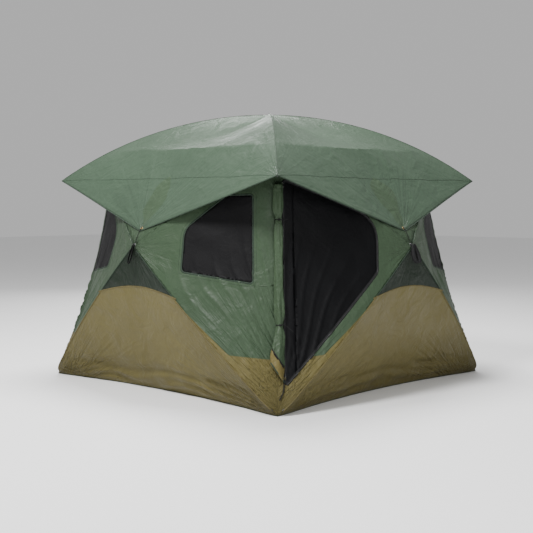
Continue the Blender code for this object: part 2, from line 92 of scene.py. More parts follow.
# Outlines on a side panel: along the corner seam from the bottom, and across towards the hub
WINDOW_CORNERS = ((0.862, 0.150), (0.985, 0.655), (1.270, 0.640), (1.470, 0.330), (1.456, 0.150))
WINDOW_RADII = (0.015, 0.030, 0.110, 0.070, 0.015)
DOOR_CORNERS = ((0.190, 0.048), (0.985, 0.742), (1.350, 0.755), (1.560, 0.048))
DOOR_RADII = (0.008, 0.080, 0.190, 0.020)
DOOR_HINGE_LINE = 0.120
TAN_TOP_AT_CORNER = 0.345
TAN_STRIP = 0.048
# The arch of the tan cloth on a lower panel: its height at the middle and at the pole seams
ARCH_MIDDLE = 0.772
ARCH_SIDE = 0.712

# Rain fly
FLY_TOP = 2.040
FLY_TIP = Vector((1.148, 1.148, 1.522))
FLY_FLAP = Vector((1.304, 0.0, 1.152))
FLY_EDGE_HEIGHT = 1.738
FLY_EDGE_HOLLOW = 0.012
FLY_EASE = 0.020

# The outer door, rolled up along the corner seam, with its two ties
ROLL_SPAN = (0.263, 1.475)
ROLL_TIES = (0.560, 1.240)
ROLL_RADIUS = 0.030
ROLL_FLATNESS = 0.80
ROLL_TAN_TOP = 0.365
ROLL_ZIP_HEIGHT = 0.354
# The zip's free end below the rolled door: height and sideways
ZIP_TAIL = ((0.268, 0.037), (0.225, 0.044), (0.180, 0.042), (0.140, 0.034), (0.100, 0.012))
# The free end of each tie, from its knot: sideways and up
TIE_TAILS = (
    ((0.0, 0.0), (0.020, 0.006), (0.048, -0.010), (0.088, -0.044)),
    ((0.0, 0.0), (0.022, -0.004), (0.045, -0.002), (0.062, 0.003)),
)

# The cord from a fly flap to its hub: outwards and up
FLY_CORD_ROUTE = (
    (1.2950, 1.1800),
    (1.3110, 1.1630),
    (1.3265, 1.1400),
    (1.3395, 1.1130),
    (1.3502, 1.0850),
    (1.3555, 1.0660),
)

# The welted seams over the poles: radius, then where each stretch starts and ends, and its material
POLE_SEAMS = {
    "lower": (0.0032, ((0.03, 0.685, "tan_binding"), (0.685, 0.97, "binding"))),
    "upper": (0.0022, ((0.03, 0.97, "binding"),)),
}
# The slider's body and tab: size, how far it hangs down, and how far it stands out
ZIP_PULL = (
    ((0.014, 0.010, 0.006), 0.0, 0.006),
    ((0.026, 0.006, 0.0022), 0.020, 0.0095),
)

# The photograph's camera
CAMERA_DISTANCE = 7.852
CAMERA_AZIMUTH = math.radians(42.995)
CAMERA_HEIGHT = 1.341
CAMERA_YAW = math.radians(0.114)
CAMERA_PITCH = -0.063
CAMERA_LENS = 66.83

# The studio's lights: name, place, target, size and power
LIGHTS = (
    ("key", (1.0, -4.8, 6.4), (0.2, -0.3, 1.0), 1.8, 660),
    ("fill", (5.4, -3.8, 3.0), (0.3, -0.3, 0.6), 2.6, 100),
    ("top", (-0.8, 0.6, 6.2), (0.0, 0.0, 1.5), 3.0, 520),
    ("back", (-5.5, 4.5, 3.5), (0.0, 0.0, 1.0), 3.5, 150),
)
SKY_STRENGTH = 0.52

UP = Vector((0.0, 0.0, 1.0))
QUARTER_TURNS = [Matrix.Rotation(number * math.pi / 2, 3, "Z") for number in range(4)]


def smooth(value):
    value = min(1.0, max(0.0, value))
    return value * value * (3.0 - 2.0 * value)


def arch(value):
    """0 at both ends and 1 in the middle."""
    return 4.0 * value * (1.0 - value)


# ---------------------------------------------------------------- camera, floor and light


def axes_at(x_axis, y_axis, z_axis, origin):
    """The matrix that lays a local frame along these directions at a point."""
    matrix = Matrix((x_axis, y_axis, z_axis)).transposed().to_4x4()
    matrix.translation = origin
    return matrix


def add_camera():
    """The photograph's camera, as fitted to the shelter's corners, hubs and fly tips."""
    heading, pitch = CAMERA_AZIMUTH + CAMERA_YAW, CAMERA_PITCH
    level = math.cos(pitch)
    forward = Vector((-math.sin(heading) * level, math.cos(heading) * level, math.sin(pitch)))
    right = Vector((math.cos(heading), math.sin(heading), 0.0))
    place = (
        CAMERA_DISTANCE * math.sin(CAMERA_AZIMUTH),
        -CAMERA_DISTANCE * math.cos(CAMERA_AZIMUTH),
        CAMERA_HEIGHT,
    )
    camera = bpy.data.objects.new("camera", bpy.data.cameras.new("camera"))
    camera.matrix_world = axes_at(right, right.cross(forward), -forward, place)
    camera.data.lens = CAMERA_LENS
    camera.data.clip_end = 100.0
    bpy.context.scene.collection.objects.link(camera)
    bpy.context.scene.camera = camera


def area_light(name, location, target, size, power):
    light = bpy.data.lights.new(name, "AREA")
    light.shape = "DISK"
    light.size = size
    light.energy = power
    obj = bpy.data.objects.new(name, light)
    obj.location = location
    obj.rotation_euler = (Vector(target) - Vector(location)).to_track_quat("-Z", "Y").to_euler()
    bpy.context.scene.collection.objects.link(obj)


def add_studio():
    """A pale floor, an even grey sky and four soft lights."""
    bm = bmesh.new()
    bmesh.ops.create_grid(bm, x_segments=1, y_segments=1, size=30.0)
    mesh = bpy.data.meshes.new("studio_floor")
    bm.to_mesh(mesh)
    bm.free()
    floor = bpy.data.objects.new("studio_floor", mesh)
    floor.location.z = -0.0015
    bpy.context.scene.collection.objects.link(floor)
    mesh.materials.append(new_material("studio_floor", (0.86, 0.86, 0.86), 0.9)[0])
    world = bpy.data.worlds.new("studio")
    world.use_nodes = True
    background = world.node_tree.nodes["Background"]
    background.inputs["Color"].default_value = (1.0, 1.0, 1.0, 1.0)
    background.inputs["Strength"].default_value = SKY_STRENGTH
    bpy.context.scene.world = world
    for light in LIGHTS:
        area_light(*light)


# ---------------------------------------------------------------- materials


def new_material(name, colour, roughness, metallic=0.0):
    material = bpy.data.materials.new(name)
    material.use_nodes = True
    tree = material.node_tree
    shader = tree.nodes["Principled BSDF"]
    shader.inputs["Base Color"].default_value = (*colour, 1.0)
    shader.inputs["Roughness"].default_value = roughness
    shader.inputs["Metallic"].default_value = metallic
    return material, tree, shader


def node(tree, kind, inputs, output, **settings):
    """A new node's output. Each input takes a number or the socket that feeds it."""
    made = tree.nodes.new(f"ShaderNode{kind}")
    for name, value in settings.items():
        setattr(made, name, value)
    for key, value in inputs.items():
        if isinstance(value, bpy.types.NodeSocket):
            tree.links.new(value, made.inputs[key])
        else:
            made.inputs[key].default_value = value
    return made.outputs[output]


def multiplied(tree, first, second):
    return node(tree, "Math", {0: first, 1: second}, 0, operation="MULTIPLY")


def object_place(tree):
    """The place in metres, as a socket."""
    return node(tree, "TexCoord", {}, "Object")


def thread_place(tree):
    """The place along and across the threads in metres, as a socket."""
    return node(tree, "UVMap", {}, "UV", uv_map="cloth")


def mottled(tree, coordinate, scale, low, high, detail=4.0):
    """A noise between two numbers, as a socket."""
    noise_inputs = {"Vector": coordinate, "Scale": scale, "Detail": detail, "Roughness": 0.6}
    cloud = node(tree, "TexNoise", noise_inputs, "Fac")
    spread = {"Value": cloud, "From Min": 0.3, "From Max": 0.7, "To Min": low, "To Max": high}
    return node(tree, "MapRange", spread, "Result")


def tint(tree, shader, colour, amount):
    """Makes the base colour the colour times a number."""
    tinted = node(tree, "VectorMath", {0: colour, "Scale": amount}, "Vector", operation="SCALE")
    tree.links.new(tinted, shader.inputs["Base Color"])


def weave_height(tree, threads):
    """Over-and-under threads of a plain weave, as a height."""
    inputs = {"Vector": thread_place(tree), "Scale": threads / 2.0}
    waves = [node(tree, "TexWave", inputs, "Fac", bands_direction=direction) for direction in "XY"]
    return multiplied(tree, *waves)


def add_bump(tree, shader, height, strength, distance, previous=None):
    inputs = {"Height": height, "Strength": strength, "Distance": distance}
    if previous is not None:
        inputs["Normal"] = previous
    normal = node(tree, "Bump", inputs, "Normal")
    tree.links.new(normal, shader.inputs["Normal"])
    return normal


def fan_folds(tree, layer, centre, count, stretch, reach):
    """Folds that fan out from a point of a UV layer and fade with distance, as a height."""
    place = node(tree, "UVMap", {}, "UV", uv_map=layer)
    arm = node(tree, "VectorMath", {0: place, 1: (*centre, 0.0)}, "Vector", operation="SUBTRACT")
    length = node(tree, "VectorMath", {0: arm}, "Value", operation="LENGTH")
    x, y = (node(tree, "SeparateXYZ", {"Vector": arm}, axis) for axis in "XY")
    angle = node(tree, "Math", {0: y, 1: x}, 0, operation="ARCTAN2")
    polar = {"X": multiplied(tree, angle, count), "Y": multiplied(tree, length, stretch)}
    polar = node(tree, "CombineXYZ", polar, "Vector")
    noise_inputs = {"Vector": polar, "Scale": 1.0, "Detail": 3.0, "Roughness": 0.5, "Distortion": 0.6}
    folds = node(tree, "TexNoise", noise_inputs, "Fac")
    fading = {"Value": length, "From Min": reach, "From Max": reach * 0.35}
    fade = node(tree, "MapRange", fading, "Result", interpolation_type="SMOOTHSTEP")
    return multiplied(tree, folds, fade)


def add_folds(tree, shader, place, crumple, fans):
    """Soft crumples, then folds from each point that pulls on the cloth, as a normal."""
    scale, roughness, distortion, strength, distance = crumple
    inputs = {"Vector": place, "Scale": scale, "Detail": 4.0}
    inputs.update({"Roughness": roughness, "Distortion": distortion})
    soft = node(tree, "TexNoise", inputs, "Fac")
    normal = add_bump(tree, shader, soft, strength, distance)
    for *fan, height in fans:
        normal = add_bump(tree, shader, fan_folds(tree, *fan), 1.0, height, normal)
    return normal


def cloth_material(name, colour, roughness=0.40, crumple=0.5, fans=()):
    """Coated polyester: a fine weave, soft crumples, folds from the points that pull on it, uneven gloss."""
    material, tree, shader = new_material(name, colour, roughness)
    place = object_place(tree)
    clouds = mottled(tree, place, 2.3, 0.91, 1.09)
    grain = mottled(tree, place, 55.0, 0.94, 1.06, 2.0)
    tint(tree, shader, colour, multiplied(tree, clouds, grain))
    gloss = mottled(tree, place, 6.0, roughness - 0.07, roughness + 0.09)
    tree.links.new(gloss, shader.inputs["Roughness"])
    shader.inputs["Specular IOR Level"].default_value = 0.15
    normal = add_folds(tree, shader, place, (7.0, 0.5, 1.2, crumple, 0.026), fans)
    add_bump(tree, shader, weave_height(tree, 700.0), 0.2, 0.0003, normal)
    return material


def mesh_material(name, colour, fans=()):
    """Fine insect mesh: a dark cloth with tiny square holes and a faint shine. Its opaque dark colour is
    partly the mesh's own black and partly painted shade of the dark inside seen through it.
    """
    material, tree, shader = new_material(name, colour, 0.55)
    place = object_place(tree)
    grid = weave_height(tree, 650.0)
    clouds = mottled(tree, place, 3.5, 0.75, 1.35)
    shade = node(tree, "Math", {0: clouds, 1: grid, 2: 0.5}, 0, operation="MULTIPLY_ADD")
    tint(tree, shader, colour, shade)
    shader.inputs["Specular IOR Level"].default_value = 0.12
    normal = add_folds(tree, shader, place, (6.0, 0.55, 1.5, 0.4, 0.012), fans)
    add_bump(tree, shader, grid, 0.3, 0.0005, normal)
    return material


def webbing_material(name, colour, rib=420.0):
    """Ribbed woven tape."""
    material, tree, shader = new_material(name, colour, 0.7)
    tint(tree, shader, colour, mottled(tree, object_place(tree), 40.0, 0.8, 1.25))
    shader.inputs["Specular IOR Level"].default_value = 0.25
    add_bump(tree, shader, weave_height(tree, rib), 0.5, 0.0008)
    return material


def plastic_material(name, colour, roughness):
    """Moulded nylon with a fine grain."""
    material, tree, shader = new_material(name, colour, roughness)
    place = object_place(tree)
    tint(tree, shader, colour, mottled(tree, place, 30.0, 0.85, 1.2))
    gloss = mottled(tree, place, 25.0, roughness - 0.07, roughness + 0.09)
    tree.links.new(gloss, shader.inputs["Roughness"])
    grain = node(tree, "TexNoise", {"Vector": place, "Scale": 900.0, "Detail": 2.0}, "Fac")
    add_bump(tree, shader, grain, 0.15, 0.0004)
    return material


def metal_material(name, colour, roughness):
    """Plated metal with fingermarks and uneven gloss."""
    material, tree, shader = new_material(name, colour, roughness, 1.0)
    place = object_place(tree)
    gloss = mottled(tree, place, 160.0, roughness - 0.1, roughness + 0.15)
    tree.links.new(gloss, shader.inputs["Roughness"])
    tint(tree, shader, colour, mottled(tree, place, 60.0, 0.8, 1.1))
    return material


def rod_material(name, colour):
    """Wrapped glass fibre: a faint spiral under a gloss coat."""
    material, tree, shader = new_material(name, colour, 0.35)
    place = object_place(tree)
    inputs = {"Vector": place, "Scale": 60.0, "Distortion": 1.5}
    spiral = node(tree, "TexWave", inputs, "Fac", bands_direction="DIAGONAL")
    add_bump(tree, shader, spiral, 0.12, 0.0006)
    tint(tree, shader, colour, mottled(tree, place, 20.0, 0.8, 1.25))
    return material


PANEL_FANS = (
    ("corner", (-0.10, -0.22), 40.0, 2.0, 1.30, 0.0300),
    ("corner", (-0.02, -0.02), 24.0, 5.0, 0.60, 0.0140),
    ("hub", (0.0, 0.0), 12.0, 4.0, 0.46, 0.0110),
)
FLY_FANS = (
    ("corner", (0.0, 0.0), 14.0, 1.4, 1.40, 0.0035),
    ("hub", (0.0, 0.0), 9.0, 2.0, 0.90, 0.0080),
)


def make_materials():
    return {
        "green": cloth_material("green_cloth", (0.0385, 0.0620, 0.0350), fans=PANEL_FANS),
        # Painted shade: the lower triangle's green above the tan, darkened to stand for the shade on that
        # downward-facing cloth
        "dark": cloth_material("dark_green_cloth", (0.0085, 0.0150, 0.0085), 0.46, fans=PANEL_FANS),
        "tan": cloth_material("tan_cloth", (0.104, 0.088, 0.031), fans=PANEL_FANS),
        "fly": cloth_material("fly_cloth", (0.0430, 0.0690, 0.0445), 0.40, 0.40, fans=FLY_FANS),
        "plain": cloth_material("roof_cloth", (0.0400, 0.0640, 0.0350)),
        "floor": cloth_material("floor_cloth", (0.088, 0.072, 0.028), 0.55, 0.35),
        "roll": cloth_material("rolled_cloth", (0.0400, 0.0640, 0.0350), crumple=1.0),
        "roll_tan": cloth_material("rolled_tan_cloth", (0.118, 0.096, 0.034), crumple=1.0),
        # Both meshes are opaque: their dark colours are partly the black mesh and partly painted shade of the
        # tent's inside behind it
        "mesh": mesh_material("black_mesh", (0.0070, 0.0068, 0.0075), PANEL_FANS),
        "screen": mesh_material("black_screen", (0.0022, 0.0023, 0.0030)),
        "tape": webbing_material("black_webbing", (0.0050, 0.0050, 0.0054)),
        "binding": webbing_material("green_binding", (0.0200, 0.0340, 0.0220), 800.0),
        "fly_binding": webbing_material("fly_binding", (0.0300, 0.0480, 0.0310), 800.0),
        "tan_binding": webbing_material("tan_binding", (0.100, 0.082, 0.030), 800.0),
        "plastic": plastic_material("black_nylon", (0.0075, 0.0075, 0.0080), 0.42),
        "zip": plastic_material("zip_coil", (0.0050, 0.0050, 0.0054), 0.40),
        "silver": metal_material("zip_nickel", (0.62, 0.61, 0.58), 0.32),
        "brass": metal_material("eyelet_brass", (0.62, 0.44, 0.20), 0.34),
        "rod": rod_material("glass_fibre", (0.0110, 0.0115, 0.0130)),
        "cord": webbing_material("elastic_cord", (0.0050, 0.0050, 0.0050), 1500.0),
    }


# ---------------------------------------------------------------- the walls as surfaces


class Wall:
    """A wall's own frame: across to the right as seen from outside, up its slope, and its outward normal."""

    def __init__(self, side):
        self.side = side
        angle = SIDES[side]
        self.out = Vector((math.cos(angle), math.sin(angle), 0.0))
        self.across = Vector((-math.sin(angle), math.cos(angle), 0.0))
        self.up = UP * math.cos(LEAN) - self.out * math.sin(LEAN)
        self.normal = self.out * math.cos(LEAN) + UP * math.sin(LEAN)
        self.middle = self.out * BASE_HALF + self.up * BELOW
        self.corners = {
            "lower_left": Vector((-BASE_HALF, -BELOW)),
            "lower_right": Vector((BASE_HALF, -BELOW)),
            "upper_right": Vector((TOP_HALF, ABOVE)),
            "upper_left": Vector((-TOP_HALF, ABOVE)),
        }

    def at(self, u, v, n=0.0):
        return self.middle + self.across * u + self.up * v + self.normal * n

    def at_hub(self, u, v, n):
        return self.at(0.0, 0.0, CLOTH_APEX) + self.across * u + self.up * v + self.normal * n


PANEL_ENDS = {
    "lower": ("lower_left", "lower_right"),
    "right": ("lower_right", "upper_right"),
    "upper": ("upper_right", "upper_left"),
    "left": ("upper_left", "lower_left"),
}


class Panel:
    """One cloth triangle of a wall: s runs along its outer edge and d across it towards the hub."""

    def __init__(self, wall, kind):
        self.wall, self.kind = wall, kind
        self.name = f"{wall.side}_panel_{kind}"
        self.keys = PANEL_ENDS[kind]
        first, second = (wall.corners[key] for key in self.keys)
        self.edge = (second - first).normalized()
        inward = Vector((-self.edge.y, self.edge.x))
        self.length = (second - first).length
        self.foot = -first.dot(self.edge)
        self.reach = -first.dot(inward)
        self.depth = math.hypot(self.reach, CLOTH_APEX)
        self.first = wall.at(first.x, first.y)
        self.along = wall.across * self.edge.x + wall.up * self.edge.y
        apex = wall.at(0.0, 0.0, CLOTH_APEX)
        self.inward = (apex - self.first - self.along * self.foot).normalized()
        self.normal = self.along.cross(self.inward)
        self.bows = [self.bow(key) for key in self.keys]

    def bow(self, key):
        """How far and which way the pole to this corner bows the cloth."""
        corner = self.wall.corners[key]
        line = self.wall.at(corner.x, corner.y) - self.wall.at(0.0, 0.0, CLOTH_APEX)
        line.normalize()
        outward = (self.wall.normal - line * self.wall.normal.dot(line)).normalized()
        return outward * (LOWER_BOW if key.startswith("lower") else UPPER_BOW)

    def edge_offset(self, share):
        """How the outer edge leaves the straight line between its corners."""
        if self.kind == "lower":
            return self.wall.out * -HEM_HOLLOW * arch(share)
        if self.kind == "upper":
            return self.wall.out * -TOP_HOLLOW * arch(share)
        side = self.wall.across if self.kind == "right" else -self.wall.across
        diagonal = (self.wall.out + side).normalized()
        return diagonal * -CORNER_HOLLOW * arch(share)

    def seam_offset(self, number, share):
        """How the pole seam leaves the straight line from the corner, share 0, to the hub, share 1."""
        lift = POLE_LIFT[self.keys[number].split("_")[0]]
        return self.bows[number] * arch(share) + self.wall.normal * lift * smooth(share / 0.10)

    def blunting(self, number, weight):
        """The bottom corners are rounded off by the pocket inside them."""
        if not self.keys[number].startswith("lower"):
            return Vector()
        side = self.wall.across if self.keys[number].endswith("right") else -self.wall.across
        return (self.wall.out + side).normalized() * -CORNER_BLUNT * smooth((weight - 0.94) / 0.06)

    def shares(self, s, d):
        """The weights of the two corners and the hub at a point."""
        hub = min(1.0, max(0.0, d / self.depth))
        left = self.foot * hub
        width = self.length * (1.0 - hub)
        share = 0.5 if width < 1e-6 else min(1.0, max(0.0, (s - left) / width))
        return (1.0 - hub) * (1.0 - share), (1.0 - hub) * share, hub

    def point(self, s, d, lift=0.0):
        first, second, hub = self.shares(s, d)
        place = self.first + self.along * s + self.inward * d
        if first + second > 1e-6:
            place += self.edge_offset(second / (first + second)) * (1.0 - hub) ** 1.6
        if first + hub > 1e-6:
            place += self.seam_offset(0, hub / (first + hub)) * (1.0 - second) ** 1.7
        if second + hub > 1e-6:
            place += self.seam_offset(1, hub / (second + hub)) * (1.0 - first) ** 1.7
        place += self.blunting(0, first) + self.blunting(1, second)
        return place + self.normal * (lift + self.wrinkle(place, first, second, hub, d))

    def raised(self, lift):
        """A function that turns flat points into points this far off the cloth."""
        return lambda s, d: self.point(s, d, lift)

    def wrinkle(self, place, first, second, hub, d):
        """Soft folds, which die out along the pole seams and the outer edge."""
        inner = smooth(min(first, second, hub) / 0.05)
        seed = place * 1.7
        folds = 0.009 * noise.noise(seed * 1.6) + 0.004 * noise.noise(seed * 5.0)
        if self.kind == "upper":
            return 0.3 * inner * folds
        if self.kind == "lower":
            fan = math.atan2(hub, min(first, second) + 0.05)
            folds += 0.008 * math.sin(30.0 * fan + 6.0 * noise.noise(seed * 1.2)) * smooth((0.30 - hub) / 0.3)
            folds -= 0.020 * math.exp(-(((d - 0.150) / 0.026) ** 2)) * (0.7 + 0.6 * noise.noise(seed * 2.0))
            folds += 0.016 * noise.noise(seed * 3.4) * smooth((0.20 - d) / 0.1)
        else:
            low = first if self.kind == "right" else second
            fan = math.atan2(hub, 1.0 - low + 0.02)
            wave = 1.0 - abs(math.sin(27.0 * fan + 3.2 * noise.noise(seed * 1.1)))
            strength = 0.30 + 1.6 * abs(noise.noise(seed * 1.6))
            folds += 0.016 * wave**3 * strength * smooth((low - 0.16) / 0.30)
        return inner * folds

    def from_bottom(self, s):
        """Turns a distance along a side panel's corner seam from the bottom into s."""
        return s if self.kind == "right" else self.length - s

    def from_corner(self, point, beside):
        """A flat point as seen from the bottom corner that pulls on the cloth beside it."""
        if self.kind == "left" or (self.kind in ("lower", "upper") and beside > self.length / 2):
            return Vector((self.length - point.x, point.y))
        return Vector((point.x, point.y))

    def outline(self):
        return [Vector((0.0, 0.0)), Vector((self.length, 0.0)), Vector((self.foot, self.depth))]


# ---------------------------------------------------------------- building cloth


def rounded(corners, radii, steps=6):
    """The outline through these corners, each turned into an arc of its radius."""
    outline = []
    count = len(corners)
    for index, (corner, radius) in enumerate(zip(corners, radii)):
        corner = Vector(corner)
        before = (Vector(corners[index - 1]) - corner).normalized()
        after = (Vector(corners[(index + 1) % count]) - corner).normalized()
        half = before.angle(after) / 2
        centre = corner + (before + after).normalized() * radius / math.sin(half)
        start = corner + before * radius / math.tan(half) - centre
        end = corner + after * radius / math.tan(half) - centre
        turn = start.angle_signed(end)
        for step in range(steps + 1):
            arm = start.copy()
            arm.rotate(Matrix.Rotation(-turn * step / steps, 2))
            outline.append(centre + arm)
    return outline


def resampled(path, step, closed):
    """The same path with points no further apart than step."""
    points = []
    ends = path[1:] + path[:1] if closed else path[1:]
    for start, end in zip(path, ends):
        count = max(1, math.ceil((end - start).length / step))
        points += [start.lerp(end, index / count) for index in range(count)]
    if not closed:
        points.append(path[-1])
    return points


def inside(point, polygon):
    """Whether a flat point lies in a polygon."""
    found = False
    previous = polygon[-1]
    for current in polygon:
        if (current.y > point.y) != (previous.y > point.y):
            cut = (previous.x - current.x) * (point.y - current.y) / (previous.y - current.y) + current.x
            if point.x < cut:
                found = not found
        previous = current
    return found


def triangulate(outline, inner, step):
    """Flat points and triangles of a region with a regular grid inside and lines along every outline."""
    points, edges = [], []
    for polygon in [outline, *inner]:
        start = len(points)
        points += polygon
        edges += [(start + i, start + (i + 1) % len(polygon)) for i in range(len(polygon))]
    cells = {}
    for p in points:
        cells.setdefault((int(p.x / step), int(p.y / step)), []).append(p)
    around = [(i, j) for i in (-1, 0, 1) for j in (-1, 0, 1)]
    left, right = min(p.x for p in outline), max(p.x for p in outline)
    low, high = min(p.y for p in outline), max(p.y for p in outline)
    row = 0
    y = low + step / 2
    while y < high:
        x = left + step * (0.5 + 0.5 * (row % 2))
        while x < right:
            p = Vector((x, y))
            column, line = int(x / step), int(y / step)
            near = [q for i, j in around for q in cells.get((column + i, line + j), ())]
            if inside(p, outline) and all((p - q).length > step * GRID_CLEARANCE for q in near):
                points.append(p)
            x += step
        y += step * GRID_ROW
        row += 1
    result = delaunay_2d_cdt(points, edges, [], 0, 1e-5)
    return result[0], result[2]


def cloth_mesh(name, panel, outline, holes, zones, base, lift=0.0, step=GRID):
    """A cloth piece over a panel's surface. Zones are (outline, material) laid in the base material."""
    outline = resampled(outline, step, True)
    holes = [resampled(hole, step, True) for hole in holes]
    zones = [(resampled(zone, step, True), material) for zone, material in zones]
    flat, faces = triangulate(outline, holes + [zone for zone, _ in zones], step)
    bm = bmesh.new()
    threads, pulls, hubs = (bm.loops.layers.uv.new(layer) for layer in ("cloth", "corner", "hub"))
    verts = [bm.verts.new(panel.point(p.x, p.y, lift)) for p in flat]
    for face in faces:
        centre = sum((flat[i] for i in face), Vector((0.0, 0.0))) / len(face)
        if not inside(centre, outline) or any(inside(centre, hole) for hole in holes):
            continue
        made = bm.faces.new([verts[i] for i in face])
        for number, (zone, _) in enumerate(zones):
            if inside(centre, zone):
                made.material_index = number + 1
        for loop, i in zip(made.loops, face):
            loop[threads].uv = flat[i]
            loop[pulls].uv = panel.from_corner(flat[i], centre.x)
            loop[hubs].uv = (flat[i].x - panel.foot, flat[i].y - panel.depth)
    loose = [vert for vert in bm.verts if not vert.link_faces]
    bmesh.ops.delete(bm, geom=loose, context="VERTS")
    return finish_mesh(name, bm, [base] + [material for _, material in zones], CLOTH_THICK)


def finish_mesh(name, bm, materials, thickness=0.0):
    """The object that this mesh becomes, smooth and with its normals outwards."""
    bmesh.ops.recalc_face_normals(bm, faces=bm.faces)
    mesh = bpy.data.meshes.new(name)
    bm.to_mesh(mesh)
    bm.free()
    for material in materials:
        mesh.materials.append(MATERIALS[material])
    mesh.shade_smooth()
    obj = bpy.data.objects.new(name, mesh)
    bpy.context.scene.collection.objects.link(obj)
    if thickness:
        modifier = obj.modifiers.new("thickness", "SOLIDIFY")
        modifier.thickness = thickness
        modifier.offset = 0.0
    return obj


def round_edges(obj, width, segments):
    """A small radius on a hard piece, with its corners kept crisp."""
    bevel = obj.modifiers.new("edge", "BEVEL")
    bevel.width = width
    bevel.segments = segments
    obj.data.set_sharp_from_angle(angle=math.radians(40))


def skin(bm, threads, rows, thread_at, closed=False):
    """Quads between neighbouring rows. thread_at takes the row, 0 or 1 for its far side, and the column."""
    for index in range(len(rows) if closed else len(rows) - 1):
        row, after = rows[index], rows[(index + 1) % len(rows)]
        for cut in range(len(row) - 1):
            face = bm.faces.new((row[cut], after[cut], after[cut + 1], row[cut + 1]))
            corners = ((0, cut), (1, cut), (1, cut + 1), (0, cut + 1))
            for loop, (ahead, column) in zip(face.loops, corners):
                loop[threads].uv = thread_at(index, ahead, column)


def band(name, points, across, width, cuts, thickness, thread, closed=False):
    """A tape through these points with its width along one direction."""
    bm = bmesh.new()
    threads = bm.loops.layers.uv.new("cloth")
    offsets = [cut / cuts - 0.5 for cut in range(cuts + 1)]
    rows = [[bm.verts.new(point + across * width * offset) for offset in offsets] for point in points]

    def thread_at(index, ahead, cut):
        return (index + ahead) * thread, cut * width / cuts

    skin(bm, threads, rows, thread_at, closed)
    return finish_mesh(name, bm, ["tape"], thickness)


def strip(name, place, path, width, material, thickness=0.0012, closed=False):
    """A flat tape along a path. Place turns a flat point into a point in the frame."""
    path = resampled(path, STRIP_STEP, closed)
    bm = bmesh.new()
    threads = bm.loops.layers.uv.new("cloth")
    rows, lengths, run = [], [], 0.0
    for index, point in enumerate(path):
        if closed:
            before, after = path[index - 1], path[(index + 1) % len(path)]
        else:
            before, after = path[max(0, index - 1)], path[min(len(path) - 1, index + 1)]
        side = Vector((-(after - before).y, (after - before).x)).normalized() * width
        rows.append([bm.verts.new(place(*(point + side * offset))) for offset in (-0.5, 0.0, 0.5)])
        run += (point - before).length
        lengths.append(run)

    def thread_at(index, ahead, cut):
        return lengths[index] + ahead * STRIP_STEP, width * cut / 2

    skin(bm, threads, rows, thread_at, closed)
    return finish_mesh(name, bm, [material], thickness)


def tube(name, points, radius, material, closed=False, resolution=3):
    """A round cord or piping through these points."""
    curve = bpy.data.curves.new(name, "CURVE")
    curve.dimensions = "3D"
    curve.bevel_depth = radius
    curve.bevel_resolution = resolution
    curve.use_fill_caps = True
    spline = curve.splines.new("POLY")
    spline.points.add(len(points) - 1)
    spline.use_cyclic_u = closed
    for spot, point in zip(spline.points, points):
        spot.co = (*point, 1.0)
    spline.use_smooth = True
    curve.materials.append(MATERIALS[material])
    obj = bpy.data.objects.new(name, curve)
    bpy.context.scene.collection.objects.link(obj)
    return obj


# ---------------------------------------------------------------- walls


def side_outline(panel, corners, radii):
    """A rounded outline on a side panel, from corners that count along the corner seam from the bottom."""
    return [Vector((panel.from_bottom(p.x), p.y)) for p in rounded(corners, radii)]


def tan_zone(panel):
    """The tan cloth low on a side panel: a strip along the pole seam that widens to the corner seam."""
    rise = panel.depth / (panel.length - panel.foot if panel.kind == "left" else panel.foot)
    shift = TAN_STRIP * math.hypot(1.0, rise)
    corners = (
        (-0.02, -0.02),
        (TAN_TOP_AT_CORNER, -0.02),
        (0.405, 0.405 * rise - shift * 0.75),
        (0.640, 0.640 * rise - shift * 0.20),
        (0.860, 0.860 * rise + 0.02),
        (0.780, 0.780 * rise + 0.10),
    )
    return side_outline(panel, corners, (0.005, 0.005, 0.060, 0.20, 0.005, 0.005))


def blend_at_edge(obj):
    """Bakes the cloth's place into its mesh."""
    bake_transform(obj)


def polygon_area(outline):
    pairs = zip(outline, outline[1:] + outline[:1])
    return abs(sum(a.x * b.y - b.x * a.y for a, b in pairs)) / 2


def declare_panel(panel, opening=None):
    """The panel is cut as a triangle, less its opening."""
    flat_area = polygon_area(panel.outline()) - (polygon_area(opening) if opening else 0.0)
    flat_area = max(flat_area, LEAST_AREA_SHARE * panel.length * panel.depth)
    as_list(panel.name)


def build_lower(panel):
    """The bottom triangle: tan up to an arch that the piping follows, and above it green darkened with
    painted shade.
    """
    half = panel.length / 2
    seam = panel.foot / panel.depth
    zone = [Vector((-0.05, -0.05)), Vector((panel.length + 0.05, -0.05))]
    for index in range(17):
        across = 1.0 - index / 8.0
        height = ARCH_MIDDLE - (ARCH_MIDDLE - ARCH_SIDE) * abs(across) ** 2.2
        reach = (panel.depth - height) * seam * 1.06
        zone.append(Vector((half + across * reach, height)))
    side = panel.wall.side
    # Above the tan arch the cloth takes the green darkened with painted shade
    cloth = cloth_mesh(f"{side}_lower_cloth", panel, panel.outline(), [], [(zone, "tan")], "dark")
    edge = strip(f"{side}_arch_seam", panel.raised(0.0016), zone[2:], 0.010, "tan_binding")
    for obj in (cloth, edge):
        blend_at_edge(obj)
    declare_panel(panel)
    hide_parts(panel.name)


def build_upper(panel):
    cloth = cloth_mesh(f"{panel.wall.side}_upper_cloth", panel, panel.outline(), [], [], "green", step=0.04)
    blend_at_edge(cloth)
    declare_panel(panel)
    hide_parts(panel.name)


def grown(outline, amount):
    """A closed outline moved outwards by an amount."""
    middle = sum(outline, Vector((0.0, 0.0))) / len(outline)
    result = []
    for index, point in enumerate(outline):
        run = outline[(index + 1) % len(outline)] - outline[index - 1]
        side = Vector((run.y, -run.x)).normalized()
        if side.dot(point - middle) < 0.0:
            side.negate()
        result.append(point + side * amount)
    return result


